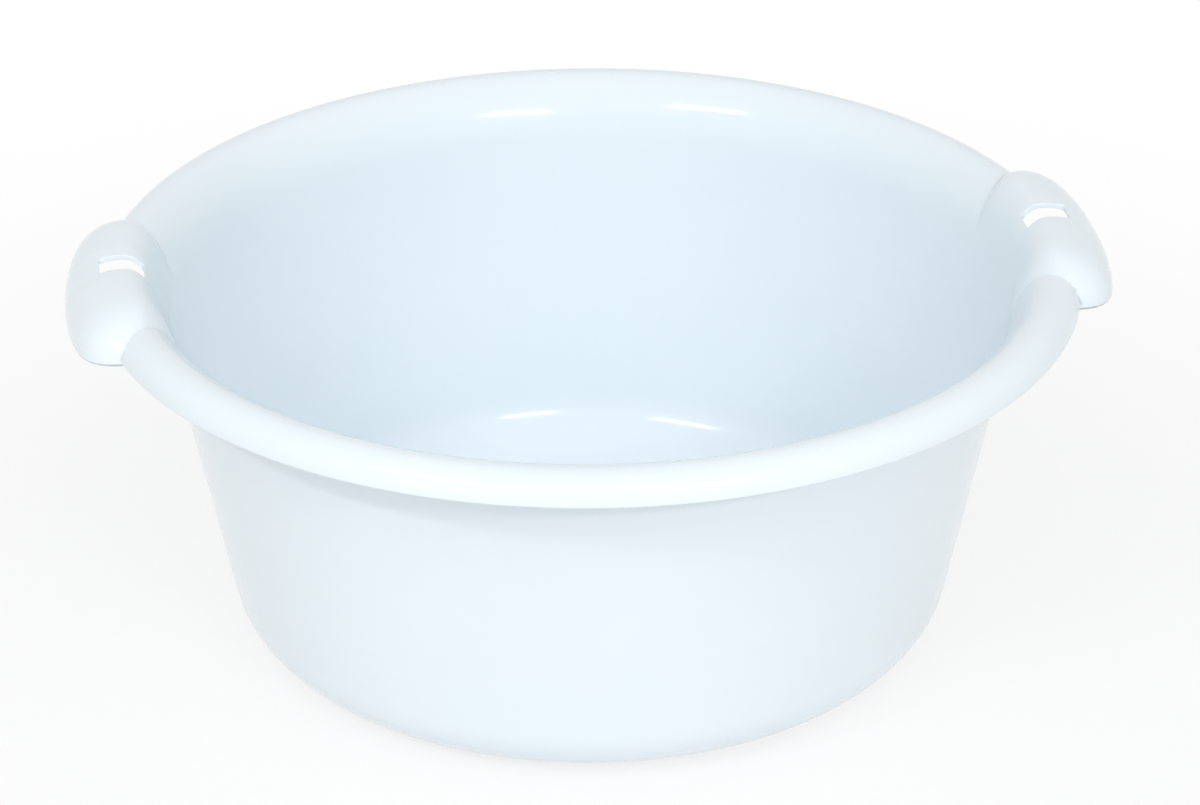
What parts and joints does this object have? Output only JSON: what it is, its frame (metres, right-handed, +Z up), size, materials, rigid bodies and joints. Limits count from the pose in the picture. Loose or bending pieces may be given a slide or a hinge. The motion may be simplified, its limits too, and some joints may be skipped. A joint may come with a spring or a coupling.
{
  "type": "washing-up bowl",
  "caption": "Round washing-up bowl with a leaning wall, a rolled rim, a low standing ring and hooded handles, each with a slot through its crest.",
  "frame": {"origin": "on the table, under the bowl's centre", "axes": "+Z up out of the bowl's mouth, +X through the middle of the right handle, -Y towards the picture's viewer"},
  "size_m": [0.405, 0.38, 0.1645],
  "materials": {
    "polypropylene": "smooth moulded gloss, white with a faint blue"
  },
  "bodies": {
    "root": {"base_panel": "polypropylene", "standing_ring": "polypropylene", "heel": "polypropylene", "side_wall": "polypropylene", "front_rim": "polypropylene", "back_rim": "polypropylene", "left_handle": "polypropylene", "right_handle": "polypropylene"}
  },
  "joints": []
}
